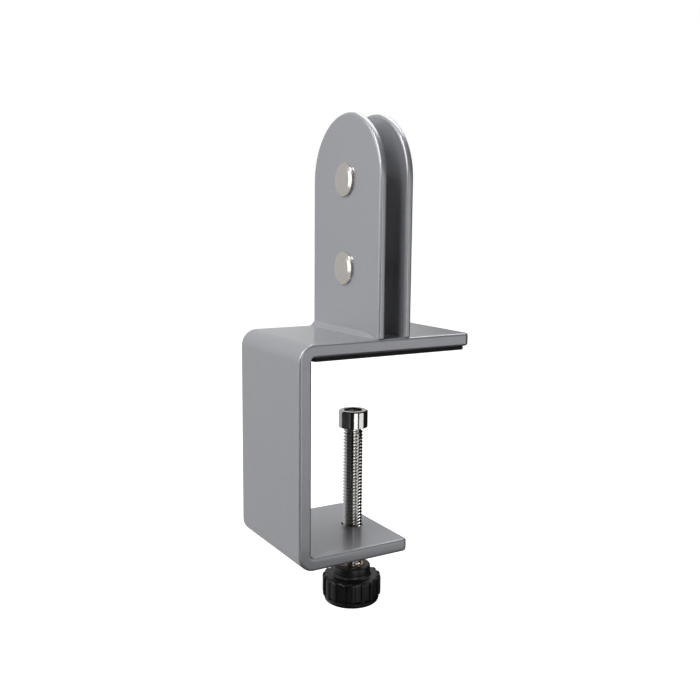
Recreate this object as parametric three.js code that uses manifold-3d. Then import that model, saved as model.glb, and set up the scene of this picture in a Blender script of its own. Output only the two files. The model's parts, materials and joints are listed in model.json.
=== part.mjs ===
// Desk-edge clamp for an upright screen panel: a bent flat-bar C clamp, two round-topped plates
// welded across its upper arm, and a clamp screw with a fluted knob in its lower arm.
//
// Lengths are in millimetres. The origin is where the clamp screw's axis meets the underside of
// the desk pad. +X runs from the web towards the arm tips, +Y along the desk edge, +Z up.

import * as THREE from "three";
import { mergeVertices } from "three/addons/utils/BufferGeometryUtils.js";
import Module from "manifold-3d";

const wasm = await Module();
wasm.setup();

// Clamp strap: 60 x 6 flat bar bent into a C.
const WIDTH = 60;
const STRAP_THICKNESS = 6;
const STRAP_HEIGHT = 100;
const UPPER_ARM_LENGTH = 90;
const LOWER_ARM_LENGTH = 56.5;
const BEND_INNER_RADIUS = 1.6;
const STRAP_EDGE_ROUND = 1.3;
const UPPER_TIP_RADIUS = 3.2;
const LOWER_TIP_RADIUS = 2.2;
const SCREW_FROM_WEB = 44.5;

// Upright plates and the panel slot between them.
const PLATE_THICKNESS = 3.5;
const PLATE_HEIGHT = 99.5;
const PLATE_EDGE_ROUND = 1.5;
const FRONT_PLATE_FROM_WEB = 39;
const SLOT_WIDTH = 10.2;

// Weld beads along the outer foot of each plate.
const BEAD_LEG = 3;
const BEAD_END_GAP = 6;
const BEAD_TAPER = 10;
const BEAD_TIP_SHARE = 0.04;
const BEAD_HOLLOW = { out: 0.42, up: 0.55 };
const BEAD_RIPPLE = 0.04;
const BEAD_RIPPLE_PITCH = 2.4;
const BEAD_STATIONS = 44;

// Pad under the upper arm.
const PAD_THICKNESS = 1.8;
const PAD_SIDE_INSET = 1.3;
const PAD_TIP_INSET = 2.6;
const PAD_CORNER_RADIUS = 1.2;
const PAD_EDGE_ROUND = 0.25;

// Panel fixings: a smooth cap nut from the front and a socket-head bolt from the rear.
const FIXING_HEIGHTS = { lower: 29.7, upper: 69.7 };
const CAP_RADIUS = 7.5;
const CAP_THICKNESS = 1.55;
const CAP_BEVEL = { out: 2, deep: 0.6 };
const BARREL_RADIUS = 4;
const BARREL_LENGTH = 15.8;
const BARREL_BORE_RADIUS = 3.15;
const BARREL_BORE_DEPTH = 12.6;
const BOLT_SHANK_RADIUS = 2.85;
const BOLT_SHANK_LENGTH = 11.5;
const BOLT_TIP_CHAMFER = 0.5;
const BOLT_HEAD_THICKNESS = 2.4;
const BOLT_SOCKET_ACROSS_FLATS = 4;
const BOLT_SOCKET_DEPTH = 2.1;

// Clamp screw: 3/8 inch, 16 threads per inch.
const THREAD_RADIUS = 4.7;
const SCREW_LENGTH = 82.5;
const SCREW_TIP_CHAMFER = 1;
const SCREW_HEAD_RADIUS = 6.95;
const SCREW_HEAD_HEIGHT = 8.2;
const SCREW_HEAD_CHAMFER = { top: 0.55, underside: 0.25 };
const SCREW_SOCKET_ACROSS_FLATS = 7.94;
const SCREW_SOCKET_DEPTH = 4.4;
const HEAD_ABOVE_LOWER_ARM = 48.2;

// Knob moulded on a metal insert and closed by a snap-in end cap.
const KNOB_BELOW_LOWER_ARM = 14.3;
const HUB_RADIUS = 9;
const HUB_HEIGHT = 5.2;
const HUB_CHAMFER = 0.7;
const GRIP_RADIUS = 14.3;
const GRIP_HEIGHT = 10.1;
const GRIP_EDGE_ROUND = 0.5;
const FLUTE_COUNT = 18;
const FLUTE_DEPTH = 1;
const RIB_SHARE = 0.32;
const RIB_FLANK_SHARE = 0.25;
const INSERT_RADIUS = 5.9;
const INSERT_LENGTH = 14.8;
const INSERT_PROUD = 0.2;
const INSERT_CHAMFER = 0.2;
const END_CAP_RADIUS = 13.4;
const END_CAP_HEIGHT = 2.65;
const END_CAP_ROUND = 1.5;

// Clearances: pieces that rest on each other, and pieces that turn or slide past each other.
const REST_GAP = 0.05;
const RUN_GAP = 0.12;

// Facets: of an arc, of a full turn and of a rounded edge on painted and on soft or moulded parts.
const ARC_STEPS = 8;
const LATHE_STEPS = 48;
const FINE_EDGE_STEPS = 3;
const COARSE_EDGE_STEPS = 1;
const BEAD_ARC_STEPS = 5;
const CORNER_STEPS = 6;

const bendOuterRadius = BEND_INNER_RADIUS + STRAP_THICKNESS;
const upperArmUnder = PAD_THICKNESS + REST_GAP;
const upperArmTop = upperArmUnder + STRAP_THICKNESS;
const lowerArmUnder = upperArmTop - STRAP_HEIGHT;
const lowerArmTop = lowerArmUnder + STRAP_THICKNESS;
const plateFoot = upperArmTop + REST_GAP;
const frontPlateX = FRONT_PLATE_FROM_WEB - SCREW_FROM_WEB;
const rearPlateX = frontPlateX + PLATE_THICKNESS + SLOT_WIDTH;

const materials = {
  paint: { color: 0x9b9ca1, roughness: 0.42, metalness: 0.3 },
  weld: { color: 0x97989d, roughness: 0.48, metalness: 0.3 },
  pad: { color: 0x1c1b1e, roughness: 0.8, metalness: 0 },
  nickel: { color: 0xc3bab2, roughness: 0.18, metalness: 1 },
  screw: { color: 0xb4b0aa, roughness: 0.2, metalness: 1 },
  insert: { color: 0xbda386, roughness: 0.3, metalness: 1 },
  knob: { color: 0x19181b, roughness: 0.4, metalness: 0 },
};

function solidOf(geometry) {
  const bare = geometry.clone();
  bare.deleteAttribute("normal");
  bare.deleteAttribute("uv");
  const merged = mergeVertices(bare, 1e-4);
  return new wasm.Manifold(
    new wasm.Mesh({
      numProp: 3,
      vertProperties: new Float32Array(merged.attributes.position.array),
      triVerts: new Uint32Array(merged.index.array),
    }),
  );
}

function geometryOf(solid) {
  const { vertProperties, triVerts } = solid.getMesh();
  const geometry = new THREE.BufferGeometry();
  geometry.setAttribute("position", new THREE.BufferAttribute(vertProperties, 3));
  geometry.setIndex(new THREE.BufferAttribute(triVerts, 1));
  geometry.computeVertexNormals();
  return geometry;
}

function cut(geometry, tools) {
  return geometryOf(tools.reduce((solid, tool) => solid.subtract(solidOf(tool)), solidOf(geometry)));
}

function meshOf(name, geometry, material) {
  const mesh = new THREE.Mesh(geometry, new THREE.MeshStandardMaterial(materials[material]));
  mesh.name = name;
  return mesh;
}

// Extrudes a shape along its local +Z from 0 to depth, with its end edges rounded inside the outline.
function roundedExtrusion(shape, depth, round, steps = FINE_EDGE_STEPS) {
  const geometry = new THREE.ExtrudeGeometry(shape, {
    depth: depth - 2 * round,
    bevelEnabled: true,
    bevelThickness: round,
    bevelSize: round,
    bevelOffset: -round,
    bevelSegments: steps,
    curveSegments: ARC_STEPS,
  });
  return geometry.translate(0, 0, round);
}

// Turns a profile of [radius, height] points about +Z.
function turned(points) {
  const profile = points.map(([radius, height]) => new THREE.Vector2(radius, height));
  return new THREE.LatheGeometry(profile, LATHE_STEPS).rotateX(Math.PI / 2);
}

// Turns a profile of [radius, distance] points about +X.
function turnedAlongX(points) {
  return turned(points).rotateY(Math.PI / 2);
}

function rod(radius, length, steps = LATHE_STEPS) {
  return new THREE.CylinderGeometry(radius, radius, length, steps).rotateX(Math.PI / 2);
}

function hexRod(acrossFlats, length) {
  return rod(acrossFlats / Math.sqrt(3), length, 6);
}

// The C of the strap in its side view: x from the web's outer face, y up from the lower arm.
function strapProfile() {
  const inner = STRAP_THICKNESS + BEND_INNER_RADIUS;
  const top = STRAP_HEIGHT - STRAP_THICKNESS;
  const shape = new THREE.Shape();
  shape.moveTo(LOWER_ARM_LENGTH, 0);
  shape.lineTo(bendOuterRadius, 0);
  shape.absarc(bendOuterRadius, bendOuterRadius, bendOuterRadius, -Math.PI / 2, -Math.PI, true);
  shape.lineTo(0, STRAP_HEIGHT - bendOuterRadius);
  shape.absarc(
    bendOuterRadius, STRAP_HEIGHT - bendOuterRadius, bendOuterRadius, Math.PI, Math.PI / 2, true,
  );
  shape.lineTo(UPPER_ARM_LENGTH, STRAP_HEIGHT);
  shape.lineTo(UPPER_ARM_LENGTH, top);
  shape.lineTo(inner, top);
  shape.absarc(inner, top - BEND_INNER_RADIUS, BEND_INNER_RADIUS, Math.PI / 2, Math.PI, false);
  shape.lineTo(STRAP_THICKNESS, inner);
  shape.absarc(inner, inner, BEND_INNER_RADIUS, Math.PI, 1.5 * Math.PI, false);
  shape.lineTo(LOWER_ARM_LENGTH, STRAP_THICKNESS);
  shape.closePath();
  return shape;
}

// A cutter that rounds one vertical corner of an arm's tip; side is +1 or -1 along Y.
function tipCornerCutter(armLength, radius, side, height) {
  const reach = radius + 1;
  const edge = side * (WIDTH / 2);
  const centre = edge - side * radius;
  const shape = new THREE.Shape();
  shape.moveTo(armLength - radius, edge);
  shape.lineTo(armLength - radius, edge + side);
  shape.lineTo(armLength - radius + reach, edge + side);
  shape.lineTo(armLength - radius + reach, centre);
  shape.lineTo(armLength, centre);
  shape.absarc(armLength - radius, centre, radius, 0, (side * Math.PI) / 2, side < 0);
  const depth = 2 * STRAP_THICKNESS;
  const cutter = new THREE.ExtrudeGeometry(shape, {
    depth, bevelEnabled: false, curveSegments: CORNER_STEPS,
  });
  return cutter.translate(0, 0, height - depth / 4);
}

function clampStrap() {
  const bar = roundedExtrusion(strapProfile(), WIDTH, STRAP_EDGE_ROUND);
  bar.rotateX(Math.PI / 2).translate(0, WIDTH / 2, 0);
  const tools = [rod(THREAD_RADIUS + RUN_GAP, 3 * STRAP_THICKNESS).translate(SCREW_FROM_WEB, 0, 0)];
  for (const side of [-1, 1]) {
    const upperArm = STRAP_HEIGHT - STRAP_THICKNESS;
    tools.push(tipCornerCutter(UPPER_ARM_LENGTH, UPPER_TIP_RADIUS, side, upperArm));
    tools.push(tipCornerCutter(LOWER_ARM_LENGTH, LOWER_TIP_RADIUS, side, 0));
  }
  const mesh = meshOf("clamp_strap", cut(bar, tools), "paint");
  mesh.position.set(-SCREW_FROM_WEB, 0, lowerArmUnder);
  return mesh;
}

// The plates' round-topped outline, as a shape in x = Y and y = Z.
function archShape() {
  const radius = WIDTH / 2;
  const shape = new THREE.Shape();
  shape.moveTo(-radius, 0);
  shape.lineTo(radius, 0);
  shape.absarc(0, PLATE_HEIGHT - radius, radius, 0, Math.PI, false);
  shape.closePath();
  return shape;
}

// Stands a geometry modelled in XY with its thickness along +Z upright: X to Y, Y to Z, Z to X.
function upright(geometry) {
  const axes = new THREE.Matrix4().makeBasis(
    new THREE.Vector3(0, 1, 0), new THREE.Vector3(0, 0, 1), new THREE.Vector3(1, 0, 0),
  );
  return geometry.applyMatrix4(axes);
}

function plate(name, x) {
  const blank = upright(roundedExtrusion(archShape(), PLATE_THICKNESS, PLATE_EDGE_ROUND));
  const holes = Object.values(FIXING_HEIGHTS).map((height) =>
    rod(BARREL_RADIUS + REST_GAP, 3 * PLATE_THICKNESS).rotateY(Math.PI / 2).translate(0, 0, height),
  );
  const mesh = meshOf(name, cut(blank, holes), "paint");
  mesh.position.set(x, 0, plateFoot);
  return mesh;
}

// A fillet bead in the corner at its local origin, on the side that direction gives along X. It is
// full at its far end, starts to narrow before its near end and stops short of the arm's edge.
function weldBead(name, x, direction) {
  const length = WIDTH - STRAP_EDGE_ROUND - BEAD_END_GAP;
  const section = new THREE.Shape();
  section.moveTo(0, 0);
  section.lineTo(0, BEAD_LEG);
  const tip = direction * BEAD_LEG;
  section.quadraticCurveTo(BEAD_HOLLOW.out * tip, BEAD_HOLLOW.up * BEAD_LEG, tip, 0);
  section.closePath();
  const bead = new THREE.ExtrudeGeometry(section, {
    depth: length, steps: BEAD_STATIONS, bevelEnabled: false, curveSegments: BEAD_ARC_STEPS,
  });
  const position = bead.attributes.position;
  for (let i = 0; i < position.count; i++) {
    const along = position.getZ(i);
    const share = Math.min(1, BEAD_TIP_SHARE + (length - along) / BEAD_TAPER);
    const taper = Math.sin((Math.PI / 2) * share);
    const ripple = 1 + BEAD_RIPPLE * Math.sin((2 * Math.PI * along) / BEAD_RIPPLE_PITCH);
    position.setX(i, position.getX(i) * taper * ripple);
    position.setY(i, position.getY(i) * taper * ripple);
  }
  bead.rotateX(Math.PI / 2);
  const mesh = meshOf(name, bead, "weld");
  mesh.position.set(x, WIDTH / 2 - STRAP_EDGE_ROUND, plateFoot);
  return mesh;
}

function deskPad() {
  const start = bendOuterRadius + REST_GAP;
  const length = UPPER_ARM_LENGTH - PAD_TIP_INSET - start;
  const half = WIDTH / 2 - PAD_SIDE_INSET;
  const r = PAD_CORNER_RADIUS;
  const shape = new THREE.Shape();
  shape.moveTo(r, -half);
  shape.lineTo(length - r, -half);
  shape.absarc(length - r, -half + r, r, -Math.PI / 2, 0, false);
  shape.lineTo(length, half - r);
  shape.absarc(length - r, half - r, r, 0, Math.PI / 2, false);
  shape.lineTo(r, half);
  shape.absarc(r, half - r, r, Math.PI / 2, Math.PI, false);
  shape.lineTo(0, -half + r);
  shape.absarc(r, -half + r, r, Math.PI, 1.5 * Math.PI, false);
  const sheet = roundedExtrusion(shape, PAD_THICKNESS, PAD_EDGE_ROUND, COARSE_EDGE_STEPS);
  const pad = meshOf("desk_pad", sheet, "pad");
  pad.position.set(start - SCREW_FROM_WEB, 0, 0);
  return pad;
}

// Smooth-faced cap with an internally threaded barrel, its seat at the local origin.
function capNut(name) {
  const profile = [
    [0, -CAP_THICKNESS],
    [CAP_RADIUS - CAP_BEVEL.out, -CAP_THICKNESS],
    [CAP_RADIUS, -CAP_THICKNESS + CAP_BEVEL.deep],
    [CAP_RADIUS, 0],
    [BARREL_RADIUS, 0],
    [BARREL_RADIUS, BARREL_LENGTH],
    [BARREL_BORE_RADIUS, BARREL_LENGTH],
    [BARREL_BORE_RADIUS, BARREL_LENGTH - BARREL_BORE_DEPTH],
    [0, BARREL_LENGTH - BARREL_BORE_DEPTH],
  ];
  return meshOf(name, turnedAlongX(profile), "nickel");
}

// Connector bolt with a wide low head, the head's seat at the local origin.
function panelBolt(name) {
  const profile = [
    [0, -BOLT_SHANK_LENGTH],
    [BOLT_SHANK_RADIUS - BOLT_TIP_CHAMFER, -BOLT_SHANK_LENGTH],
    [BOLT_SHANK_RADIUS, -BOLT_SHANK_LENGTH + BOLT_TIP_CHAMFER],
    [BOLT_SHANK_RADIUS, 0],
    [CAP_RADIUS, 0],
    [CAP_RADIUS, BOLT_HEAD_THICKNESS - CAP_BEVEL.deep],
    [CAP_RADIUS - CAP_BEVEL.out, BOLT_HEAD_THICKNESS],
    [0, BOLT_HEAD_THICKNESS],
  ];
  const socket = hexRod(BOLT_SOCKET_ACROSS_FLATS, 2 * BOLT_SOCKET_DEPTH);
  socket.rotateY(Math.PI / 2).translate(BOLT_HEAD_THICKNESS, 0, 0);
  return meshOf(name, cut(turnedAlongX(profile), [socket]), "nickel");
}

function panelFixing(level) {
  const group = new THREE.Group();
  const nut = capNut(`${level}_cap_nut`);
  nut.position.x = frontPlateX - REST_GAP;
  const bolt = panelBolt(`${level}_panel_bolt`);
  bolt.position.x = rearPlateX + PLATE_THICKNESS + REST_GAP;
  group.add(nut, bolt);
  group.position.z = plateFoot + FIXING_HEIGHTS[level];
  return group;
}

// Cap screw with the underside of its head at the local origin.
function clampScrew() {
  const { top, underside } = SCREW_HEAD_CHAMFER;
  const profile = [
    [0, -SCREW_LENGTH],
    [THREAD_RADIUS - SCREW_TIP_CHAMFER, -SCREW_LENGTH],
    [THREAD_RADIUS, -SCREW_LENGTH + SCREW_TIP_CHAMFER],
    [THREAD_RADIUS, 0],
    [SCREW_HEAD_RADIUS - underside, 0],
    [SCREW_HEAD_RADIUS, underside],
    [SCREW_HEAD_RADIUS, SCREW_HEAD_HEIGHT - top],
    [SCREW_HEAD_RADIUS - top, SCREW_HEAD_HEIGHT],
    [0, SCREW_HEAD_HEIGHT],
  ];
  const socket = hexRod(SCREW_SOCKET_ACROSS_FLATS, 2 * SCREW_SOCKET_DEPTH);
  socket.translate(0, 0, SCREW_HEAD_HEIGHT);
  return meshOf("clamp_screw", cut(turned(profile), [socket]), "screw");
}

// The grip's fluted outline: ribs on the full radius and shallow recesses between them.
function gripShape() {
  const pitch = (2 * Math.PI) / FLUTE_COUNT;
  const rib = pitch * RIB_SHARE;
  const flank = rib * RIB_FLANK_SHARE;
  const recess = GRIP_RADIUS - FLUTE_DEPTH;
  const points = [];
  for (let i = 0; i < FLUTE_COUNT; i++) {
    const start = i * pitch;
    points.push([GRIP_RADIUS, start], [GRIP_RADIUS, start + rib]);
    points.push([recess, start + rib + flank], [recess, start + (rib + pitch) / 2]);
    points.push([recess, start + pitch - flank]);
  }
  return new THREE.Shape(
    points.map(([r, a]) => new THREE.Vector2(r * Math.cos(a), r * Math.sin(a))),
  );
}

// Knob body with the top of its hub at the local origin.
function knobBody() {
  const grip = roundedExtrusion(gripShape(), GRIP_HEIGHT, GRIP_EDGE_ROUND, COARSE_EDGE_STEPS);
  grip.translate(0, 0, -HUB_HEIGHT - GRIP_HEIGHT);
  const hubFoot = -HUB_HEIGHT - GRIP_HEIGHT / 2;
  const hub = turned([
    [0, hubFoot],
    [HUB_RADIUS, hubFoot],
    [HUB_RADIUS, -HUB_CHAMFER],
    [HUB_RADIUS - HUB_CHAMFER, 0],
    [0, 0],
  ]);
  const bore = solidOf(rod(INSERT_RADIUS + RUN_GAP, 4 * (HUB_HEIGHT + GRIP_HEIGHT)));
  const body = solidOf(grip).add(solidOf(hub)).subtract(bore);
  return meshOf("knob_body", geometryOf(body), "knob");
}

function knobInsert() {
  const bore = THREAD_RADIUS + RUN_GAP;
  const bottom = INSERT_PROUD - INSERT_LENGTH;
  const profile = [
    [bore, bottom],
    [INSERT_RADIUS, bottom],
    [INSERT_RADIUS, INSERT_PROUD - INSERT_CHAMFER],
    [INSERT_RADIUS - INSERT_CHAMFER, INSERT_PROUD],
    [bore, INSERT_PROUD],
    [bore, bottom],
  ];
  return meshOf("knob_insert", turned(profile), "insert");
}

// End cap with its upper face at the local origin.
function knobEndCap() {
  const profile = [[0, -END_CAP_HEIGHT]];
  for (let i = 0; i <= ARC_STEPS; i++) {
    const angle = -Math.PI / 2 + ((Math.PI / 2) * i) / ARC_STEPS;
    profile.push([
      END_CAP_RADIUS - END_CAP_ROUND + END_CAP_ROUND * Math.cos(angle),
      END_CAP_ROUND - END_CAP_HEIGHT + END_CAP_ROUND * Math.sin(angle),
    ]);
  }
  profile.push([END_CAP_RADIUS, 0], [0, 0]);
  return meshOf("knob_end_cap", turned(profile), "knob");
}

function screwAndKnob() {
  const group = new THREE.Group();
  const knob = new THREE.Group();
  const screw = clampScrew();
  screw.position.z = lowerArmTop + HEAD_ABOVE_LOWER_ARM;
  const endCap = knobEndCap();
  endCap.position.z = -HUB_HEIGHT - GRIP_HEIGHT - REST_GAP;
  knob.add(knobBody(), knobInsert(), endCap);
  knob.position.z = lowerArmUnder - KNOB_BELOW_LOWER_ARM;
  group.add(screw, knob);
  return group;
}

const clamp = new THREE.Group();
clamp.add(
  clampStrap(),
  plate("front_plate", frontPlateX),
  plate("rear_plate", rearPlateX),
  weldBead("front_weld_bead", frontPlateX - REST_GAP, -1),
  weldBead("rear_weld_bead", rearPlateX + PLATE_THICKNESS + REST_GAP, 1),
  deskPad(),
  panelFixing("upper"),
  panelFixing("lower"),
  screwAndKnob(),
);

export default clamp;
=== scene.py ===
"""Looks of a desk-edge clamp for an upright screen panel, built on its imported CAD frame.

Every piece is mesh code in metres, in the frame's own axes: +X from the web towards the arm tips,
+Y along the desk edge, +Z up. Sizes written in this file are in millimetres times MM.
"""

import functools
import json
import math

import bmesh
import bpy
from mathutils import Matrix, Vector


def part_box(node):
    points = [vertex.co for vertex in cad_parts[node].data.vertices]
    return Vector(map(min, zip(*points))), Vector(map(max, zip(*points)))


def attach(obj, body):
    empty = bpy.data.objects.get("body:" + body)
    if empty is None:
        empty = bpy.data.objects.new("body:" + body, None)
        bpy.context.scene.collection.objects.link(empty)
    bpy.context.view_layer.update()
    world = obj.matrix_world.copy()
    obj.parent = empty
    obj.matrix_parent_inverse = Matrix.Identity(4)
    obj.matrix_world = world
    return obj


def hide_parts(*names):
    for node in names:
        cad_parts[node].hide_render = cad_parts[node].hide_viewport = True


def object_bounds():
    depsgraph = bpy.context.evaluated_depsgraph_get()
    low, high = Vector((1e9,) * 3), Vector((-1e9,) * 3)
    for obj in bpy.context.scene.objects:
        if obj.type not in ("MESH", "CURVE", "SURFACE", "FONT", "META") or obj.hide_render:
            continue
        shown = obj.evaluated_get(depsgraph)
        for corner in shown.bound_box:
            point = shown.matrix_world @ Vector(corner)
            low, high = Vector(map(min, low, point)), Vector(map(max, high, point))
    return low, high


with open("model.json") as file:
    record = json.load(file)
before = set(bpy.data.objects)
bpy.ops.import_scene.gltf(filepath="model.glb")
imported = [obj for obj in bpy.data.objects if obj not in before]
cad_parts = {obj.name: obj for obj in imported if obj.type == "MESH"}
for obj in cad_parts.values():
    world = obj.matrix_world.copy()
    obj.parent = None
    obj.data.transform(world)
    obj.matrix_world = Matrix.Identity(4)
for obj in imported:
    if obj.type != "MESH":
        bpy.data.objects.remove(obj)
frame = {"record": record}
cad_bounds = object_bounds()

MM = 0.001
REST_GAP = 0.05 * MM

# Strap: flat bar bent into a C.
BEND_INNER_RADIUS = 1.6 * MM
STRAP_EDGE_ROUND = 1.3 * MM
LOWER_ARM_LENGTH = 56.5 * MM
UPPER_TIP_RADIUS = 3.2 * MM
LOWER_TIP_RADIUS = 2.2 * MM
TAPPED_HOLE_RADIUS = 4.82 * MM
TAPPED_HOLE_CHAMFER = 0.5 * MM
STRAIGHT_PARTS = 8

# Plates and weld beads.
PLATE_EDGE_ROUND = 1.5 * MM
PLATE_FOOT_CHAMFER = 0.35 * MM
BARREL_HOLE_RADIUS = 4.05 * MM
BEAD_LEG = 2.5 * MM
BEAD_TAPER = 12.0 * MM
BEAD_TAIL = 2.6 * MM
BEAD_RIPPLE = 0.01 * MM
BEAD_RIPPLE_PITCH = 2.4 * MM
BEAD_WANDER = 0.16 * MM
BEAD_WAVES = ((3.7 * MM, 2.1), (8.3 * MM, -3.0))  # length, and lean across the bead
BEAD_RIPPLE_BOW = 5.0
BEAD_HOLLOW = 0.04
BEAD_END_SHARE = 0.02
BEAD_STATIONS, BEAD_ACROSS = 150, 12

# Pad.
PAD_CORNER = 1.4 * MM
PAD_RIM = 0.45 * MM
PAD_CORNER_STEPS = 8

# Panel fixings.
CAP_BEVEL_OUT = 2.0 * MM
CAP_BEVEL_DEEP = 0.6 * MM
CAP_SOFT_EDGE = 0.15 * MM
CAP_SEAT_EDGE = 0.12 * MM
BARREL_RADIUS = 4.0 * MM
BARREL_BORE_RADIUS = 3.15 * MM
BARREL_BORE_DEPTH = 12.6 * MM
BARREL_EDGE = 0.3 * MM
BARREL_DRILL_POINT = 0.8 * MM
BOLT_SHANK_RADIUS = 2.85 * MM
BOLT_TIP_EDGE = 0.5 * MM
BOLT_HEAD_THICKNESS = 2.4 * MM
BOLT_SOCKET_FLATS = 4.0 * MM
BOLT_SOCKET_DEPTH = 1.6 * MM

# Clamp screw.
THREAD_PITCH = 1.5875 * MM
THREAD_CREST = 4.7 * MM
THREAD_DEPTH = 0.88 * MM
THREAD_MARGIN = 0.12 * MM
THREAD_FADE_IN, THREAD_FADE_OUT, THREAD_RUN_OUT = 0.8, 0.35, 0.3  # in turns
THREAD_FORM = (0.02, 0.0, 0.02, 0.5, 0.97, 1.0, 0.97, 0.5)  # share of the depth, root to crest
THREAD_PLACES = (-0.11, 0.0, 0.11, 0.27, 0.44, 0.5, 0.56, 0.73)  # where those are in one turn
SCREW_HEAD_HEIGHT = 8.2 * MM
SCREW_SOCKET_FLATS = 7.94 * MM
SCREW_SOCKET_DEPTH = 4.2 * MM
HEAD_FOOT_EDGE = ((0.3, 0), (0.1, 0.06), (0, 0.3))  # millimetres in, and up from the foot
HEAD_TOP_EDGE = ((0, 0.6), (0.1, 0.36), (0.5, 0.06), (0.62, 0))  # in, and down from the top

# Knob.
HUB_RADIUS = 9.0 * MM
HUB_HEIGHT = 5.2 * MM
FLUTE_COUNT = 18
FLUTE_DEPTH = 1.0 * MM
RIB_SHARE = 0.32
RIB_FLANK = 0.08
INSERT_CLEARANCE = 0.12 * MM
INSERT_EDGE = 0.25 * MM
BORE_FOOT_LAND = 0.3 * MM
BORE_TOP_OUT, BORE_TOP_DEEP = 0.35 * MM, 0.3 * MM
HUB_ROUND = 0.75 * MM
GRIP_STEPS = FLUTE_COUNT * 20

# Knob profiles in millimetres: in from the ribs and up or down, then out from the hub and up.
RIB_FOOT = ((1.3, 0), (0.62, 0.12), (0.22, 0.4), (0.05, 0.75), (0, 1.1))
RIB_SHOULDER = ((0, 1.5), (0.06, 1.0), (0.22, 0.55), (0.55, 0.18), (1.15, 0))
HUB_FOOT = ((0.9, 0), (0.5, 0.06), (0.2, 0.24), (0, 0.6), (0, 1.5))
HUB_GROOVE = ((-0.12, 1.62), (-0.34, 1.74), (-0.34, 2.3), (-0.12, 2.42), (0, 2.54))
END_CAP_DISH = ((8.6, 0.35), (9.0, 0.24), (9.3, 0.02), (9.6, 0))  # radius, and up from the base
END_CAP_ROUND = 1.5 * MM
END_CAP_ROUND_STEPS = 8
END_CAP_RIM = 0.2 * MM

# Camera and stage.
CAMERA_PLACE = (-208.41 * MM, -343.08 * MM, 59.19 * MM)
CAMERA_YAW, CAMERA_PITCH, CAMERA_ROLL = 31.017, 8.539, 0.554
CAMERA_LENS, CAMERA_SENSOR = 44.30, 36.0
FLOOR_HALF, FLOOR_PARTS = 6.0, 12
FLOOR_GLOW_REACH, FLOOR_GLOW = (0.12, 0.7), (0.74, 0.96)
ROOM_GLOW_TOWARD = (-0.41, 0.88, 0.26)
ROOM_GLOW_EDGE, ROOM_GLOW = (0.42, 0.56), (0.015, 0.68)

ROUND_STEPS = 6
BEND_STEPS = 14
ARCH_STEPS = 72
TURN_STEPS = 72
FINE_TURN_STEPS = 96
AXIS_RADIUS = 0.02 * MM  # a turned shape's end closes from this small ring
SHARP_ANGLE = math.radians(32)


# ---------------------------------------------------------------- mesh helpers


@functools.lru_cache(maxsize=None)
def box(node):
    """Lowest and highest corners of a CAD node."""
    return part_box(node)


def piece(name, verts, faces, material, weighted=True):
    """A smooth-shaded mesh object with sharp edges kept, its faces turned outwards."""
    mesh = bpy.data.meshes.new(name)
    mesh.from_pydata([tuple(v) for v in verts], [], faces)
    work = bmesh.new()
    work.from_mesh(mesh)
    bmesh.ops.recalc_face_normals(work, faces=work.faces)
    work.to_mesh(mesh)
    work.free()
    obj = bpy.data.objects.new(name, mesh)
    bpy.context.scene.collection.objects.link(obj)
    mesh.materials.append(material)
    finish_shading(obj, weighted)
    return obj


def finish_shading(obj, weighted=True):
    """Smooth shading with sharp edges kept, and normals weighted by face area if asked."""
    for polygon in obj.data.polygons:
        polygon.use_smooth = True
    obj.data.set_sharp_from_angle(angle=SHARP_ANGLE)
    if weighted:
        modifier = obj.modifiers.new("even_normals", "WEIGHTED_NORMAL")
        modifier.keep_sharp = True


def drilled(obj, cutters):
    """Cuts the cutters out of obj and deletes them."""
    obj.modifiers.clear()
    for cutter in cutters:
        modifier = obj.modifiers.new("drill", "BOOLEAN")
        modifier.operation = "DIFFERENCE"
        modifier.solver = "EXACT"
        modifier.object = cutter
    evaluated = obj.evaluated_get(bpy.context.evaluated_depsgraph_get())
    mesh = bpy.data.meshes.new_from_object(evaluated)
    obj.modifiers.clear()
    obj.data = mesh
    for cutter in cutters:
        bpy.data.objects.remove(cutter)
    finish_shading(obj)
    return obj


def circle(radius, height, steps=TURN_STEPS):
    """One ring of points about +Z; radius is a number or a function of the angle."""
    ring = []
    for i in range(steps):
        angle = 2 * math.pi * i / steps
        r = radius(angle) if callable(radius) else radius
        ring.append(Vector((r * math.cos(angle), r * math.sin(angle), height)))
    return ring


def bands(rings, count, closed=False):
    """Quads between rings of count points; closed joins the last ring to the first."""
    faces = []
    for k in range(rings if closed else rings - 1):
        a, b = k * count, ((k + 1) % rings) * count
        for i in range(count):
            j = (i + 1) % count
            faces.append((a + i, a + j, b + j, b + i))
    return faces


def stack(rings, count):
    """Bands over rings of count points, with one face on the first ring and one on the last."""
    last = (rings - 1) * count
    return bands(rings, count) + [tuple(range(count)), tuple(range(last, last + count))]


def skin(rings, closed=False):
    """Vertices and faces over rings about +Z: ends closed to the axis, or joined into a loop."""
    steps = len(rings[0])
    verts = [v for ring in rings for v in ring]
    faces = bands(len(rings), steps, closed)
    if not closed:
        for start, height in ((0, rings[0][0].z), ((len(rings) - 1) * steps, rings[-1][0].z)):
            centre = len(verts)
            verts.append(Vector((0, 0, height)))
            for i in range(steps):
                faces.append((start + i, start + (i + 1) % steps, centre))
    return verts, faces


def hexagon(across_flats):
    """A radius function for a hexagon with corners every 60 degrees from +X."""
    apothem = across_flats / 2

    def radius(angle):
        return apothem / math.cos(math.fmod(angle, math.pi / 3) - math.pi / 6)

    return radius


def fillet(r, z, out, up, start, end, steps=ROUND_STEPS):
    """Profile points of an ellipse's arc about (r, z), from start to end degrees."""
    points = []
    for i in range(steps + 1):
        angle = math.radians(start + (end - start) * i / steps)
        points.append((r + out * math.cos(angle), z + up * math.sin(angle)))
    return points


def turned(profile, steps=TURN_STEPS):
    """Rings about +Z from (radius, height) pairs."""
    return [circle(radius, height, steps) for radius, height in profile]


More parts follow.
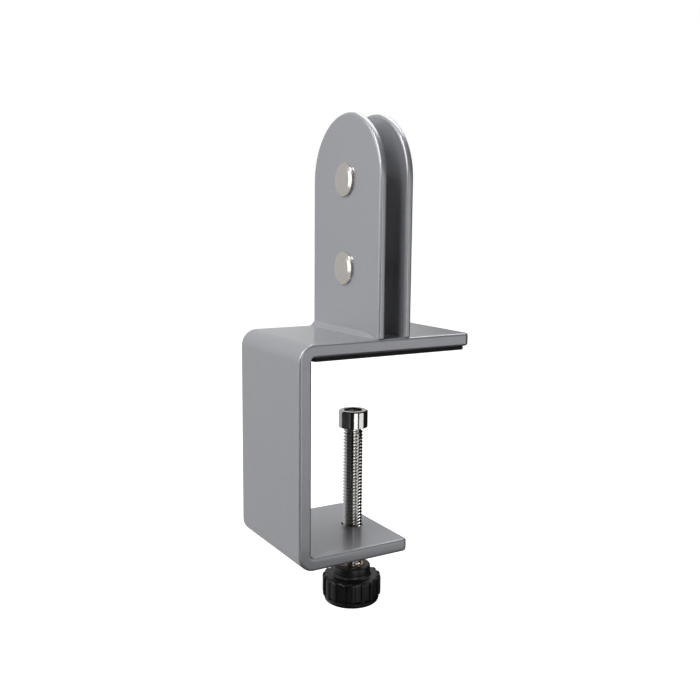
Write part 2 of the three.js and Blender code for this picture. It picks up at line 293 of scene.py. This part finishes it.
def moved(verts, matrix):
    """Vertices after a matrix."""
    return [matrix @ v for v in verts]


def along_x(x, z, direction=1):
    """Takes a shape turned about +Z to the X axis, at height z, seated at x."""
    turn = Matrix.Rotation(math.radians(90 * direction), 4, "Y")
    return Matrix.Translation((x, 0, z)) @ turn


def cutter(profile, matrix=Matrix.Identity(4)):
    """A turned shape to cut out of a piece."""
    verts, faces = skin(turned(profile))
    return piece("cutter", moved(verts, matrix), faces, None, weighted=False)


def hex_socket(flats, depth, top, mouth, lip, ledge, cone, centre):
    """Profile points of a hexagon socket, from its widened mouth down to its drilled cone."""
    hole = hexagon(flats)
    return [
        (lambda angle: hole(angle) + mouth, top),
        (hole, top - lip),
        (hole, top - depth),
        (flats / 2 - ledge, top - depth),
        (centre, top - depth - cone),
    ]


def edge_levels(thickness, radius):
    """Inset and height, from one face to the other, of an edge rounded by radius on both faces."""
    half = thickness / 2
    levels = []
    for side in (-1, 1):
        quarter = []
        for i in range(ROUND_STEPS + 1):
            angle = math.radians(90 * i / ROUND_STEPS)
            inset = radius * (1 - math.sin(angle))
            quarter.append((inset, side * (half - radius + radius * math.cos(angle))))
        levels += quarter if side < 0 else quarter[::-1]
    return levels


# ---------------------------------------------------------------- materials


def new_material(name, base, roughness, metallic):
    """A node material, and its shader."""
    material = bpy.data.materials.new(name)
    material.use_nodes = True
    shader = material.node_tree.nodes["Principled BSDF"]
    shader.inputs["Base Color"].default_value = (*base, 1)
    shader.inputs["Roughness"].default_value = roughness
    shader.inputs["Metallic"].default_value = metallic
    return material, shader


def texture(material, kind, scale, **sockets):
    """A procedural texture in object coordinates."""
    nodes, links = material.node_tree.nodes, material.node_tree.links
    place = nodes.get("place") or nodes.new("ShaderNodeTexCoord")
    place.name = "place"
    node = nodes.new(kind)
    node.inputs["Scale"].default_value = scale
    for socket, value in sockets.items():
        node.inputs[socket].default_value = value
    links.new(place.outputs["Object"], node.inputs["Vector"])
    return node


def set_ranges(node, source, target):
    """Sets what a Map Range node reads and gives, each from low to high."""
    node.inputs["From Min"].default_value, node.inputs["From Max"].default_value = source
    node.inputs["To Min"].default_value, node.inputs["To Max"].default_value = target


def ramp(material, source, low, high):
    """Spreads a 0 to 1 value between low and high."""
    node = material.node_tree.nodes.new("ShaderNodeMapRange")
    set_ranges(node, (0, 1), (low, high))
    material.node_tree.links.new(source, node.inputs["Value"])
    return node.outputs["Result"]


def tint(material, shader, base, factor):
    """Base colour times a factor that varies over the surface."""
    nodes, links = material.node_tree.nodes, material.node_tree.links
    scale = nodes.new("ShaderNodeVectorMath")
    scale.operation = "SCALE"
    scale.inputs[0].default_value = base
    links.new(factor, scale.inputs["Scale"])
    links.new(scale.outputs["Vector"], shader.inputs["Base Color"])


def product(material, a, b):
    """Two node values multiplied."""
    node = material.node_tree.nodes.new("ShaderNodeMath")
    node.operation = "MULTIPLY"
    material.node_tree.links.new(a, node.inputs[0])
    material.node_tree.links.new(b, node.inputs[1])
    return node.outputs["Value"]


def relief(material, shader, heights):
    """Bumps from (height output, depth in metres) pairs, one over the other."""
    nodes, links = material.node_tree.nodes, material.node_tree.links
    previous = None
    for height, depth in heights:
        bump = nodes.new("ShaderNodeBump")
        bump.inputs["Distance"].default_value = depth
        links.new(height, bump.inputs["Height"])
        if previous:
            links.new(previous, bump.inputs["Normal"])
        previous = bump.outputs["Normal"]
    links.new(previous, shader.inputs["Normal"])


def silver_paint():
    """Fine metallic powder paint: flakes, faint mottling, a soft orange peel and a clear gloss."""
    base = (0.375, 0.381, 0.409)
    material, shader = new_material("silver_paint", base, 0.4, 0.5)
    shader.inputs["Coat Weight"].default_value = 0.8
    shader.inputs["Coat Roughness"].default_value = 0.035
    flakes = texture(material, "ShaderNodeTexVoronoi", 4200)
    mottle = texture(material, "ShaderNodeTexNoise", 55, Detail=3)
    split = material.node_tree.nodes.new("ShaderNodeSeparateColor")
    material.node_tree.links.new(flakes.outputs["Color"], split.inputs["Color"])
    factor = product(
        material,
        ramp(material, split.outputs["Red"], 0.93, 1.07),
        ramp(material, mottle.outputs["Fac"], 0.975, 1.025),
    )
    tint(material, shader, base, factor)
    haze = texture(material, "ShaderNodeTexNoise", 160, Detail=2)
    material.node_tree.links.new(
        ramp(material, haze.outputs["Fac"], 0.36, 0.44), shader.inputs["Roughness"]
    )
    peel = texture(material, "ShaderNodeTexNoise", 620, Detail=2)
    grain = texture(material, "ShaderNodeTexNoise", 5200, Detail=1)
    relief(material, shader, [(peel.outputs["Fac"], 0.007 * MM), (grain.outputs["Fac"], 0.002 * MM)])
    return material


def bright_metal(name, base, roughness, scratch_scale):
    """Polished plating: hairline scratches, cloudy roughness and a slight change of tone."""
    material, shader = new_material(name, base, roughness, 1.0)
    cloud = texture(material, "ShaderNodeTexNoise", 240, Detail=4)
    tint(material, shader, base, ramp(material, cloud.outputs["Fac"], 0.95, 1.05))
    scratch = texture(material, "ShaderNodeTexNoise", scratch_scale, Detail=2)
    spread = ramp(material, scratch.outputs["Fac"], 0.7 * roughness, 1.3 * roughness)
    material.node_tree.links.new(spread, shader.inputs["Roughness"])
    waves = texture(material, "ShaderNodeTexNoise", 420, Detail=1)
    relief(
        material,
        shader,
        [(waves.outputs["Fac"], 0.004 * MM), (scratch.outputs["Fac"], 0.0006 * MM)],
    )
    return material


def black_plastic():
    """Moulded black nylon: fine spark texture with worn-smooth cloudy gloss."""
    base = (0.0125, 0.0122, 0.0135)
    material, shader = new_material("black_plastic", base, 0.36, 0.0)
    cloud = texture(material, "ShaderNodeTexNoise", 180, Detail=3)
    tint(material, shader, base, ramp(material, cloud.outputs["Fac"], 0.8, 1.25))
    material.node_tree.links.new(
        ramp(material, cloud.outputs["Fac"], 0.28, 0.46), shader.inputs["Roughness"]
    )
    spark = texture(material, "ShaderNodeTexNoise", 3400, Detail=2)
    flow = texture(material, "ShaderNodeTexNoise", 300, Detail=2)
    relief(material, shader, [(flow.outputs["Fac"], 0.02 * MM), (spark.outputs["Fac"], 0.006 * MM)])
    return material


def pad_rubber():
    """Black closed-cell rubber sheet: fine pores and a dusty bloom."""
    base = (0.017, 0.0165, 0.019)
    material, shader = new_material("pad_rubber", base, 0.78, 0.0)
    shader.inputs["Specular IOR Level"].default_value = 0.35
    bloom = texture(material, "ShaderNodeTexNoise", 90, Detail=5)
    tint(material, shader, base, ramp(material, bloom.outputs["Fac"], 0.7, 1.4))
    pores = texture(material, "ShaderNodeTexVoronoi", 2600)
    material.node_tree.links.new(
        ramp(material, pores.outputs["Distance"], 0.68, 0.9), shader.inputs["Roughness"]
    )
    relief(material, shader, [(pores.outputs["Distance"], 0.03 * MM)])
    return material


def floor_paper():
    """Pale paper that glows more and more away from the object, so it fades into the white room."""
    base = (0.5, 0.5, 0.503)
    material, shader = new_material("floor_paper", base, 0.9, 0.0)
    shader.inputs["Specular IOR Level"].default_value = 0.1
    shader.inputs["Emission Color"].default_value = (1, 1, 1, 1)
    fibre = texture(material, "ShaderNodeTexNoise", 30, Detail=4)
    tint(material, shader, base, ramp(material, fibre.outputs["Fac"], 0.99, 1.01))
    nodes, links = material.node_tree.nodes, material.node_tree.links
    reach = nodes.new("ShaderNodeVectorMath")
    reach.operation = "LENGTH"
    links.new(nodes["place"].outputs["Object"], reach.inputs[0])
    glow = nodes.new("ShaderNodeMapRange")
    set_ranges(glow, FLOOR_GLOW_REACH, FLOOR_GLOW)
    links.new(reach.outputs["Value"], glow.inputs["Value"])
    links.new(glow.outputs["Result"], shader.inputs["Emission Strength"])
    return material


# ---------------------------------------------------------------- strap


def strap_outline(length, half_width, inset):
    """Left side of the flat bar's outline as (u, v) pairs, from the upper tip to the lower tip."""
    points = []
    for i in range(ROUND_STEPS + 1):
        angle = math.radians(90 * i / ROUND_STEPS)
        r = UPPER_TIP_RADIUS
        u = r - (r - inset) * math.cos(angle)
        points.append((u, half_width - r + (r - inset) * math.sin(angle)))
    upper, bend, web, lower = strap_lengths()
    marks = [i / STRAIGHT_PARTS for i in range(1, STRAIGHT_PARTS)]
    stations = [UPPER_TIP_RADIUS + (upper - UPPER_TIP_RADIUS) * m for m in marks]
    stations += [upper + bend * i / BEND_STEPS for i in range(BEND_STEPS + 1)]
    stations += [upper + bend + web * m for m in marks]
    stations += [upper + bend + web + bend * i / BEND_STEPS for i in range(BEND_STEPS + 1)]
    start = upper + 2 * bend + web
    stations += [start + (lower - LOWER_TIP_RADIUS) * m for m in marks]
    points += [(u, half_width - inset) for u in stations]
    for i in range(ROUND_STEPS + 1):
        angle = math.radians(90 * i / ROUND_STEPS)
        r = LOWER_TIP_RADIUS
        u = length - r + (r - inset) * math.sin(angle)
        points.append((u, half_width - r + (r - inset) * math.cos(angle)))
    return points


def strap_thickness():
    """The bar's thickness: the strap's top down to the pad's, less the gap between them."""
    return box("clamp_strap")[1].z - box("desk_pad")[1].z - REST_GAP


def strap_lengths():
    """Centreline lengths of the upper arm, one bend, the web and the lower arm."""
    low, high = box("clamp_strap")
    outer = BEND_INNER_RADIUS + strap_thickness()
    middle = BEND_INNER_RADIUS + strap_thickness() / 2
    return (
        high.x - low.x - outer,
        middle * math.pi / 2,
        high.z - low.z - 2 * outer,
        LOWER_ARM_LENGTH - outer,
    )


def bent(u, v, w):
    """A point of the flat bar, u along it, v across it and w out of it, after bending into the C."""
    low, high = box("clamp_strap")
    thickness = strap_thickness()
    outer = BEND_INNER_RADIUS + thickness
    middle = BEND_INNER_RADIUS + thickness / 2
    upper, bend, web, _ = strap_lengths()
    if u <= upper:
        return Vector((high.x - u, v, high.z - thickness / 2 + w))
    if u <= upper + bend:
        angle = (u - upper) / middle
        r = middle + w
        return Vector(
            (low.x + outer - r * math.sin(angle), v, high.z - outer + r * math.cos(angle))
        )
    if u <= upper + bend + web:
        return Vector((low.x + thickness / 2 - w, v, high.z - outer - (u - upper - bend)))
    if u <= upper + 2 * bend + web:
        angle = (u - upper - bend - web) / middle
        r = middle + w
        return Vector(
            (low.x + outer - r * math.cos(angle), v, low.z + outer - r * math.sin(angle))
        )
    return Vector((low.x + outer + u - upper - 2 * bend - web, v, low.z + thickness / 2 - w))


def strap_blank(paint):
    """The bent bar with rounded edges, before its hole is cut."""
    low, high = box("clamp_strap")
    length = sum(strap_lengths()) + strap_lengths()[1]
    half_width = (high.y - low.y) / 2
    levels = edge_levels(strap_thickness(), STRAP_EDGE_ROUND)
    verts = []
    for inset, w in levels:
        side = strap_outline(length, half_width, inset)
        verts += [bent(u, -v, w) for u, v in side] + [bent(u, v, w) for u, v in reversed(side)]
    ring = len(verts) // len(levels)
    faces = bands(len(levels), ring)
    for base in (0, (len(levels) - 1) * ring):
        for i in range(ring // 2 - 1):
            a, b = base + ring - 1 - i, base + ring - 2 - i
            faces.append((base + i, base + i + 1, b, a))
    return piece("strap_steel", verts, faces, paint)


def clamp_strap(paint):
    """The strap with its tapped hole, chamfered at both ends."""
    blank = strap_blank(paint)
    bottom = box("clamp_strap")[0].z
    top = bottom + strap_thickness()
    over, r = TAPPED_HOLE_CHAMFER, TAPPED_HOLE_RADIUS
    profile = [
        (r + 2 * over, bottom - over),
        (r, bottom + over),
        (r, top - over),
        (r + 2 * over, top + over),
    ]
    return drilled(blank, [cutter(profile)])


# ---------------------------------------------------------------- plates and welds


def arch_outline(half_width, height, inset):
    """Round-topped outline as (y, z) pairs from its foot, which is cut square."""
    edge = half_width - inset
    points = [(edge - PLATE_FOOT_CHAMFER, 0), (edge, PLATE_FOOT_CHAMFER)]
    for i in range(ARCH_STEPS + 1):
        angle = math.pi * i / ARCH_STEPS
        points.append((edge * math.cos(angle), height - half_width + edge * math.sin(angle)))
    points += [(-edge, PLATE_FOOT_CHAMFER), (PLATE_FOOT_CHAMFER - edge, 0)]
    return points


def plate(name, node, paint):
    """A round-topped upright with rounded edges, drilled for both cap nuts' barrels."""
    low, high = box(node)
    half_width = (high.y - low.y) / 2
    middle = (high.x + low.x) / 2
    levels = edge_levels(high.x - low.x, PLATE_EDGE_ROUND)
    verts = []
    for inset, x in levels:
        outline = arch_outline(half_width, high.z - low.z, inset)
        verts += [Vector((middle + x, y, low.z + z)) for y, z in outline]
    blank = piece(name, verts, stack(len(levels), len(verts) // len(levels)), paint)
    reach = 2 * (high.x - low.x)
    cutters = []
    for level in ("lower", "upper"):
        nut_low, nut_high = box(f"{level}_cap_nut")
        centre = (nut_low.z + nut_high.z) / 2
        profile = [(BARREL_HOLE_RADIUS, -reach), (BARREL_HOLE_RADIUS, reach)]
        cutters.append(cutter(profile, along_x(middle, centre)))
    return drilled(blank, cutters)


def bead_section(along, length):
    """The weld's face as (out, up) pairs, at a distance along it from its thick end."""
    share = min(1.0, (length - along) / BEAD_TAPER + BEAD_END_SHARE)
    taper = math.sin(math.pi / 2 * share)
    points = []
    for j in range(BEAD_ACROSS + 1):
        t = j / BEAD_ACROSS
        phase = 2 * math.pi * along / BEAD_RIPPLE_PITCH + BEAD_RIPPLE_BOW * (t - 0.5) ** 2
        wander = sum(math.sin(along / wave + lean * t) for wave, lean in BEAD_WAVES)
        leg = BEAD_LEG * taper + BEAD_WANDER * wander / 2 * taper
        hollow = 1 - BEAD_HOLLOW * math.sin(math.pi * t)
        swell = BEAD_RIPPLE * math.sin(phase) * math.sin(math.pi * t) * taper
        points.append((leg * t * hollow + swell, leg * (1 - t) * hollow + swell))
    return points


def weld_bead(name, node, direction, paint):
    """A fillet weld with faint bowed ripples and a wandering toe, sunk a little into plate and arm."""
    low, high = box(node)
    foot = low.z - 2 * REST_GAP
    wall = (high.x if direction < 0 else low.x) - direction * 2 * REST_GAP
    length = high.y - low.y + BEAD_TAIL
    verts = []
    for i in range(BEAD_STATIONS + 1):
        along = length * i / BEAD_STATIONS
        verts.append(Vector((wall, high.y - along, foot)))
        for out, up in bead_section(along, length):
            verts.append(Vector((wall + direction * out, high.y - along, foot + up)))
    return piece(name, verts, stack(BEAD_STATIONS + 1, BEAD_ACROSS + 2), paint)


# ---------------------------------------------------------------- pad


def desk_pad(rubber):
    """A thin rubber sheet with rounded corners and a soft rim."""
    low, high = box("desk_pad")
    centre, half = (low + high) / 2, (high - low) / 2
    levels = edge_levels(high.z - low.z, PAD_RIM)
    verts = []
    for inset, z in levels:
        for quarter, (sx, sy) in enumerate(((1, 1), (-1, 1), (-1, -1), (1, -1))):
            for i in range(PAD_CORNER_STEPS + 1):
                angle = math.radians(90 * (quarter + i / PAD_CORNER_STEPS))
                x = sx * (half.x - PAD_CORNER) + (PAD_CORNER - inset) * math.cos(angle)
                y = sy * (half.y - PAD_CORNER) + (PAD_CORNER - inset) * math.sin(angle)
                verts.append(Vector((centre.x + x, centre.y + y, centre.z + z)))
    return piece("pad_under_arm", verts, stack(len(levels), 4 * (PAD_CORNER_STEPS + 1)), rubber)


# ---------------------------------------------------------------- panel fixings


def cap_nut(level, nickel):
    """Smooth cap with a rounded bevel, seated on the front plate, and its barrel."""
    low, high = box(f"{level}_cap_nut")
    centre = (low.z + high.z) / 2
    radius = (high.z - low.z) / 2
    seat = box("front_plate")[0].x - REST_GAP
    thickness = seat - low.x
    barrel = high.x - seat
    bore = barrel - BARREL_BORE_DEPTH
    flat = radius - CAP_BEVEL_OUT
    profile = [
        (AXIS_RADIUS, -thickness),
        (flat - CAP_SOFT_EDGE, -thickness),
        (flat, 0.25 * CAP_SOFT_EDGE - thickness),
        (radius - 0.5 * CAP_SOFT_EDGE, CAP_BEVEL_DEEP - 0.5 * CAP_SOFT_EDGE - thickness),
        (radius, CAP_BEVEL_DEEP + 0.2 * CAP_SOFT_EDGE - thickness),
        (radius, -CAP_SEAT_EDGE),
        (radius - CAP_SEAT_EDGE, 0),
        (BARREL_RADIUS, 0),
        (BARREL_RADIUS, barrel - BARREL_EDGE),
        (BARREL_RADIUS - BARREL_EDGE, barrel),
        (BARREL_BORE_RADIUS + BARREL_EDGE, barrel),
        (BARREL_BORE_RADIUS, barrel - BARREL_EDGE),
        (BARREL_BORE_RADIUS, bore),
        (AXIS_RADIUS, bore - BARREL_DRILL_POINT),
    ]
    verts, faces = skin(turned(profile, FINE_TURN_STEPS))
    return piece(f"{level}_smooth_cap", moved(verts, along_x(seat, centre)), faces, nickel)


def panel_bolt(level, nickel):
    """Low-headed socket bolt from the rear, its shank inside the cap nut's barrel."""
    low, high = box(f"{level}_panel_bolt")
    centre = (low.z + high.z) / 2
    radius = (high.z - low.z) / 2
    seat = high.x - BOLT_HEAD_THICKNESS
    tip, top = low.x - seat, BOLT_HEAD_THICKNESS
    profile = [
        (AXIS_RADIUS, tip),
        (BOLT_SHANK_RADIUS - BOLT_TIP_EDGE, tip),
        (BOLT_SHANK_RADIUS, tip + BOLT_TIP_EDGE),
        (BOLT_SHANK_RADIUS, 0),
        (radius - CAP_SEAT_EDGE, 0),
        (radius, CAP_SEAT_EDGE),
    ]
    bevel = (CAP_BEVEL_OUT, CAP_BEVEL_DEEP)
    profile += fillet(radius - CAP_BEVEL_OUT, top - CAP_BEVEL_DEEP, *bevel, 0, 90)
    profile += hex_socket(
        BOLT_SOCKET_FLATS, BOLT_SOCKET_DEPTH, top,
        mouth=0.25 * MM, lip=0.22 * MM, ledge=0.1 * MM, cone=0.5 * MM, centre=AXIS_RADIUS,
    )
    verts, faces = skin(turned(profile, FINE_TURN_STEPS))
    return piece(f"{level}_socket_bolt", moved(verts, along_x(seat, centre)), faces, nickel)


# ---------------------------------------------------------------- clamp screw


def smoothstep(t):
    """0 to 1 with level ends, held outside that range."""
    t = min(1.0, max(0.0, t))
    return t * t * (3 - 2 * t)


def thread(low, high, steps):
    """A right-hand thread from low to high that fades out at both ends.

    Returns its vertices and faces, then the vertex numbers of its bottom and top rings.
    """
    root = THREAD_CREST - THREAD_DEPTH
    form = len(THREAD_FORM)
    turns = int((high - low - 2 * THREAD_MARGIN) / THREAD_PITCH) - 1
    rows = form * turns
    start = high - THREAD_MARGIN - THREAD_PITCH * (turns + 1 + THREAD_PLACES[0])
    verts = []

    def add(radius, angle, z):
        verts.append(Vector((radius * math.cos(angle), radius * math.sin(angle), z)))
        return len(verts) - 1

    bottom = [add(root, 2 * math.pi * j / steps, low) for j in range(steps)]
    columns = []
    for j in range(steps):
        column = []
        for k in range(rows + 1 + (form if j == 0 else 0)):
            turn = k // form + THREAD_PLACES[k % form] + j / steps
            count = k / form + j / steps
            fade = smoothstep((count - 1) / THREAD_FADE_IN)
            fade *= smoothstep((turns + THREAD_RUN_OUT - count) / THREAD_FADE_OUT)
            radius = root + THREAD_DEPTH * THREAD_FORM[k % form] * fade
            z = min(start + THREAD_PITCH * turn, high - THREAD_MARGIN / 2)
            column.append(add(radius, 2 * math.pi * j / steps, z))
        columns.append(column)
    top = [add(root, 2 * math.pi * j / steps, high) for j in range(steps)]
    faces = []
    for j in range(steps):
        here = columns[j]
        there = columns[j + 1] if j + 1 < steps else columns[0][form:]
        for k in range(rows):
            faces.append((here[k], there[k], there[k + 1], here[k + 1]))
    for j in range(steps - 1):
        faces.append((bottom[j], bottom[j + 1], columns[j + 1][0], columns[j][0]))
    seam = columns[0][: form + 1]
    faces.append((bottom[-1], bottom[0], *seam, columns[-1][0]))
    for j in range(1, steps - 1):
        faces.append((columns[j][rows], columns[j + 1][rows], top[j + 1], top[j]))
    faces.append((columns[-1][rows], columns[0][rows + form], top[0], top[-1]))
    seam = columns[0][rows:]
    faces.append((seam[0], columns[1][rows], top[1], top[0], *reversed(seam[1:])))
    return verts, faces, bottom, top


def clamp_screw(steel):
    """Threaded shank with a flat end, and a round head with a hexagon socket."""
    low, high = box("clamp_screw")
    radius = (high.x - low.x) / 2
    under = high.z - SCREW_HEAD_HEIGHT
    verts, faces, bottom, previous = thread(low.z, under, TURN_STEPS)
    centre = len(verts)
    verts.append(Vector((0, 0, low.z)))
    for j in range(TURN_STEPS):
        faces.append((bottom[j], bottom[(j + 1) % TURN_STEPS], centre))
    profile = [(radius - inset * MM, under + up * MM) for inset, up in HEAD_FOOT_EDGE]
    profile += [(radius - inset * MM, high.z - down * MM) for inset, down in HEAD_TOP_EDGE]
    profile += hex_socket(
        SCREW_SOCKET_FLATS, SCREW_SOCKET_DEPTH, high.z,
        mouth=0.35 * MM, lip=0.3 * MM, ledge=0.2 * MM, cone=1.0 * MM, centre=0.6 * MM,
    )
    for ring in turned(profile):
        indices = list(range(len(verts), len(verts) + TURN_STEPS))
        verts += ring
        for j in range(TURN_STEPS):
            n = (j + 1) % TURN_STEPS
            faces.append((previous[j], previous[n], indices[n], indices[j]))
        previous = indices
    faces.append(tuple(previous))
    return piece("socket_head_screw", verts, faces, steel)


# ---------------------------------------------------------------- knob


def rib_radius(full, inset):
    """Radius function of the fluted grip, shrunk by inset."""

    def radius(angle):
        share = math.fmod(angle * FLUTE_COUNT / (2 * math.pi), 1.0)
        falling = smoothstep((share - RIB_SHARE) / RIB_FLANK)
        rising = smoothstep((share - 1 + RIB_FLANK) / RIB_FLANK)
        return full - inset - FLUTE_DEPTH * (falling - rising)

    return radius


def knob_body(plastic):
    """Fluted grip with softened rib ends, and a hub with one shallow groove round it."""
    low, high = box("knob_body")
    full = (high.x - low.x) / 2
    bore = box("knob_insert")[1].x + INSERT_CLEARANCE
    shoulder = high.z - HUB_HEIGHT
    profile = [(bore, low.z), (bore + BORE_FOOT_LAND, low.z)]
    profile += [(rib_radius(full, inset * MM), low.z + up * MM) for inset, up in RIB_FOOT]
    profile += [
        (rib_radius(full, inset * MM), shoulder - down * MM) for inset, down in RIB_SHOULDER
    ]
    profile += [(HUB_RADIUS + out * MM, shoulder + up * MM) for out, up in HUB_FOOT + HUB_GROOVE]
    profile += fillet(HUB_RADIUS - HUB_ROUND, high.z - HUB_ROUND, HUB_ROUND, HUB_ROUND, 0, 90)
    profile += [(bore + BORE_TOP_OUT, high.z), (bore, high.z - BORE_TOP_DEEP)]
    verts, faces = skin(turned(profile, GRIP_STEPS), closed=True)
    return piece("knob_grip", verts, faces, plastic)


def knob_insert(brass):
    """Metal sleeve round the screw, chamfered at its rims."""
    low, high = box("knob_insert")
    outer = (high.x - low.x) / 2
    bore = THREAD_CREST + INSERT_CLEARANCE
    edge = INSERT_EDGE
    profile = [
        (bore, low.z),
        (outer - edge, low.z),
        (outer, low.z + edge),
        (outer, high.z - edge),
        (outer - edge, high.z),
        (bore + 2 * edge, high.z),
        (bore, high.z - 2 * edge),
    ]
    verts, faces = skin(turned(profile), closed=True)
    return piece("threaded_insert", verts, faces, brass)


def knob_end_cap(plastic):
    """Smooth collar below the ribs, with a rounded rim and a shallow dished base."""
    low, high = box("knob_end_cap")
    outer = (high.x - low.x) / 2
    r = END_CAP_ROUND
    profile = [(AXIS_RADIUS, low.z + END_CAP_DISH[0][1] * MM)]
    profile += [(radius * MM, low.z + up * MM) for radius, up in END_CAP_DISH]
    profile += fillet(outer - r, low.z + r, r, r, -90, 0, END_CAP_ROUND_STEPS)
    profile += [
        (outer, high.z - END_CAP_RIM),
        (outer - END_CAP_RIM, high.z),
        (AXIS_RADIUS, high.z),
    ]
    verts, faces = skin(turned(profile, FINE_TURN_STEPS))
    return piece("knob_collar", verts, faces, plastic)


# ---------------------------------------------------------------- stage, light and camera


def screw_drop():
    """How far the screw can go down from rest, as a negative number of metres."""
    joints = frame["record"]["behaviour"]["joints"]
    return next(joint["range_m"][0] for joint in joints if joint["name"] == "screw_lift")


def build_floor():
    """Floor under the knob's lowest place, kept out of the object's bounced light and reflections."""
    level = cad_bounds[0].z + screw_drop()
    marks = [FLOOR_HALF * (2 * i / FLOOR_PARTS - 1) for i in range(FLOOR_PARTS + 1)]
    verts = [Vector((x, y, level)) for x in marks for y in marks]
    row = FLOOR_PARTS + 1
    faces = []
    for i in range(FLOOR_PARTS):
        for j in range(FLOOR_PARTS):
            a = i * row + j
            faces.append((a, a + 1, a + row + 1, a + row))
    floor = piece("floor", verts, faces, floor_paper(), weighted=False)
    floor.visible_diffuse = False
    floor.visible_glossy = False


def soft_light(name, azimuth, elevation, distance, size, power):
    """A soft panel, size wide and tall, aimed at the object. Azimuth runs from -Y towards -X."""
    light = bpy.data.lights.new(name, "AREA")
    light.shape = "RECTANGLE"
    light.size, light.size_y = size
    light.energy = power
    obj = bpy.data.objects.new(name, light)
    a, e = math.radians(azimuth), math.radians(elevation)
    toward = Vector((-math.sin(a) * math.cos(e), -math.cos(a) * math.cos(e), math.sin(e)))
    centre = (cad_bounds[0] + cad_bounds[1]) / 2
    obj.location = centre + toward * distance
    obj.rotation_euler = toward.to_track_quat("Z", "Y").to_euler()
    obj.visible_camera = False
    bpy.context.scene.collection.objects.link(obj)


def build_lights():
    """Five soft panels; size is width and height in metres, power is in watts."""
    soft_light("key", 71, 40, distance=0.95, size=(0.28, 1.0), power=7.2)
    soft_light("left", 113, 22, distance=0.95, size=(0.42, 0.95), power=1.9)
    soft_light("near", 9, -3, distance=0.75, size=(0.34, 0.6), power=1.3)
    soft_light("right", -37, -7, distance=0.9, size=(0.62, 0.62), power=1.35)
    soft_light("rear_top", -125, 64, distance=1.0, size=(0.85, 0.85), power=7.0)


def build_room():
    """A world that is white to the camera; to all else it is dark, with a glow on one side."""
    world = bpy.data.worlds.new("studio")
    bpy.context.scene.world = world
    world.use_nodes = True
    nodes, links = world.node_tree.nodes, world.node_tree.links
    output = nodes["World Output"]
    seen = nodes["Background"]
    seen.inputs["Color"].default_value = (1, 1, 1, 1)
    room = nodes.new("ShaderNodeBackground")
    place = nodes.new("ShaderNodeTexCoord")
    facing = nodes.new("ShaderNodeVectorMath")
    facing.operation = "DOT_PRODUCT"
    facing.inputs[1].default_value = ROOM_GLOW_TOWARD
    links.new(place.outputs["Generated"], facing.inputs[0])
    glow = nodes.new("ShaderNodeMapRange")
    glow.interpolation_type = "SMOOTHSTEP"
    set_ranges(glow, ROOM_GLOW_EDGE, ROOM_GLOW)
    links.new(facing.outputs["Value"], glow.inputs["Value"])
    links.new(glow.outputs["Result"], room.inputs["Strength"])
    path = nodes.new("ShaderNodeLightPath")
    mix = nodes.new("ShaderNodeMixShader")
    links.new(path.outputs["Is Camera Ray"], mix.inputs["Fac"])
    links.new(room.outputs["Background"], mix.inputs[1])
    links.new(seen.outputs["Background"], mix.inputs[2])
    links.new(mix.outputs["Shader"], output.inputs["Surface"])


def build_camera():
    """The camera fitted to the photograph, from its place, yaw, pitch and roll."""
    yaw, pitch, roll = map(math.radians, (CAMERA_YAW, CAMERA_PITCH, CAMERA_ROLL))
    ahead = Vector(
        (math.sin(yaw) * math.cos(pitch), math.cos(yaw) * math.cos(pitch), -math.sin(pitch))
    )
    right = ahead.cross(Vector((0, 0, 1))).normalized()
    up = right.cross(ahead)
    tilted_right = math.cos(roll) * right + math.sin(roll) * up
    tilted_up = -math.sin(roll) * right + math.cos(roll) * up
    data = bpy.data.cameras.new("camera")
    data.sensor_width, data.lens, data.clip_start = CAMERA_SENSOR, CAMERA_LENS, 0.01
    camera = bpy.data.objects.new("camera", data)
    matrix = Matrix((tilted_right, tilted_up, -ahead)).transposed().to_4x4()
    matrix.translation = Vector(CAMERA_PLACE)
    camera.matrix_world = matrix
    bpy.context.scene.collection.objects.link(camera)
    bpy.context.scene.camera = camera


# ---------------------------------------------------------------- assembly


def place(obj, node, body, slot):
    """Says which body a piece rides and which CAD node it replaces; slot is not used."""
    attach(obj, body)
    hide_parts(node)
    return obj


def build_object():
    """Makes every piece and places it."""
    paint = silver_paint()
    nickel = bright_metal("nickel_plate", (0.74, 0.69, 0.645), 0.16, 1800)
    steel = bright_metal("screw_steel", (0.66, 0.645, 0.625), 0.13, 2400)
    brass = bright_metal("insert_brass", (0.66, 0.5, 0.34), 0.26, 2400)
    plastic = black_plastic()
    place(clamp_strap(paint), "clamp_strap", "bracket", "silver_paint")
    place(plate("front_steel_plate", "front_plate", paint), "front_plate", "bracket", "silver_paint")
    place(plate("rear_steel_plate", "rear_plate", paint), "rear_plate", "bracket", "silver_paint")
    for side, direction in (("front", -1), ("rear", 1)):
        node = f"{side}_weld_bead"
        bead = weld_bead(f"{side}_fillet_weld", node, direction, paint)
        place(bead, node, "bracket", "silver_paint")
    pad = place(desk_pad(pad_rubber()), "desk_pad", "bracket", "pad_rubber")
    for level in ("lower", "upper"):
        place(cap_nut(level, nickel), f"{level}_cap_nut", "bracket", "nickel_plate")
        place(panel_bolt(level, nickel), f"{level}_panel_bolt", "bracket", "nickel_plate")
    place(clamp_screw(steel), "clamp_screw", "screw_and_knob", "screw_steel")
    place(knob_body(plastic), "knob_body", "screw_and_knob", "black_plastic")
    place(knob_end_cap(plastic), "knob_end_cap", "screw_and_knob", "black_plastic")
    place(knob_insert(brass), "knob_insert", "screw_travel", "insert_brass")


build_object()
build_floor()
build_lights()
build_room()
build_camera()
bpy.context.scene.view_settings.view_transform = "Standard"
